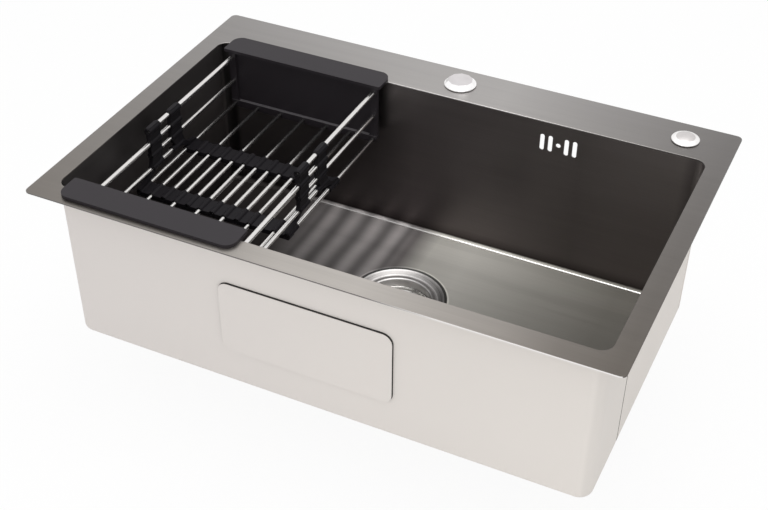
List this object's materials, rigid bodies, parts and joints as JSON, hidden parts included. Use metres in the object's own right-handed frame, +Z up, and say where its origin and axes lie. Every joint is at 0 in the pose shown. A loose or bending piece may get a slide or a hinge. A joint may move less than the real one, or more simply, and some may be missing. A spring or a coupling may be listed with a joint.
{
  "type": "kitchen sink",
  "caption": "Top-mounted single-bowl kitchen sink in brushed steel with a sprayed outer coat, a basket-strainer drain, covered tap holes and a telescoping draining basket.",
  "frame": {"origin": "centre of the worktop cut-out, in the plane of the deck's underside, which lies one sealing strip (1 mm) above the worktop", "axes": "+X along the length to the right seen from the user's side, +Y to the back where the tap holes are, +Z up"},
  "size_m": [0.68, 0.45, 0.2952],
  "materials": {
    "deck_steel": "fine brushed, gunmetal tint",
    "bowl_steel": "fine brushed, gunmetal tint",
    "outer_coat": "matt sprayed sound-damping coat",
    "pad_rubber": "matt",
    "drain_steel": "polished stainless",
    "seal_rubber": "matt",
    "ring_plastic": "matt white",
    "nut_plastic": "matt black",
    "strainer_steel": "polished stainless",
    "cover_chrome": "polished",
    "gasket_rubber": "matt",
    "seal_foam": "closed-cell strip",
    "zinc_steel": "zinc plated",
    "rod_steel": "polished stainless rod",
    "basket_plastic": "fine matt black"
  },
  "bodies": {
    "sink": {"deck_panel": "deck_steel", "rim_seal": "seal_foam", "bowl_body": "bowl_steel", "bowl_left_side": "bowl_steel", "bowl_right_side": "bowl_steel", "outer_coat": "outer_coat", "front_sound_pad": "pad_rubber", "floor_sound_pads": "pad_rubber", "drain_cup": "drain_steel", "drain_outlet": "zinc_steel", "drain_top_seal": "seal_rubber", "drain_under_washer": "seal_rubber", "drain_friction_ring": "ring_plastic", "drain_lock_nut": "nut_plastic", "tap_hole_cover": "cover_chrome", "tap_hole_cover_gasket": "gasket_rubber", "tap_hole_clamp_washer": "zinc_steel", "tap_hole_wing_nut": "zinc_steel", "soap_hole_cover": "cover_chrome", "soap_hole_cover_gasket": "gasket_rubber", "soap_hole_clamp_washer": "zinc_steel", "soap_hole_wing_nut": "zinc_steel"},
    "strainer": {"strainer_cup": "strainer_steel", "strainer_sieve": "strainer_steel", "strainer_knob": "strainer_steel", "strainer_stopper_seal": "seal_rubber"},
    "basket_rear_half": {"basket_rear_top_rods": "rod_steel", "basket_rear_side_rods": "rod_steel", "basket_rear_floor_rods": "rod_steel", "basket_rear_end": "basket_plastic", "basket_rear_guide_frame": "basket_plastic"},
    "basket_front_half": {"basket_front_top_rods": "rod_steel", "basket_front_side_rods": "rod_steel", "basket_front_floor_rods": "rod_steel", "basket_front_end": "basket_plastic", "basket_front_guide_frame": "basket_plastic"}
  },
  "joints": [
    {"name": "basket_slide", "type": "slide", "parent": "sink", "child": "basket_rear_half", "axis": [1, 0, 0], "range_m": [-0.01, 0.395]},
    {"name": "basket_extend", "type": "slide", "parent": "basket_rear_half", "child": "basket_front_half", "axis": [0, -1, 0], "range_m": [-0.095, 0.004]},
    {"name": "strainer_lift", "type": "slide", "parent": "sink", "child": "strainer", "axis": [0, 0, 1], "range_m": [0, 0.06]}
  ]
}
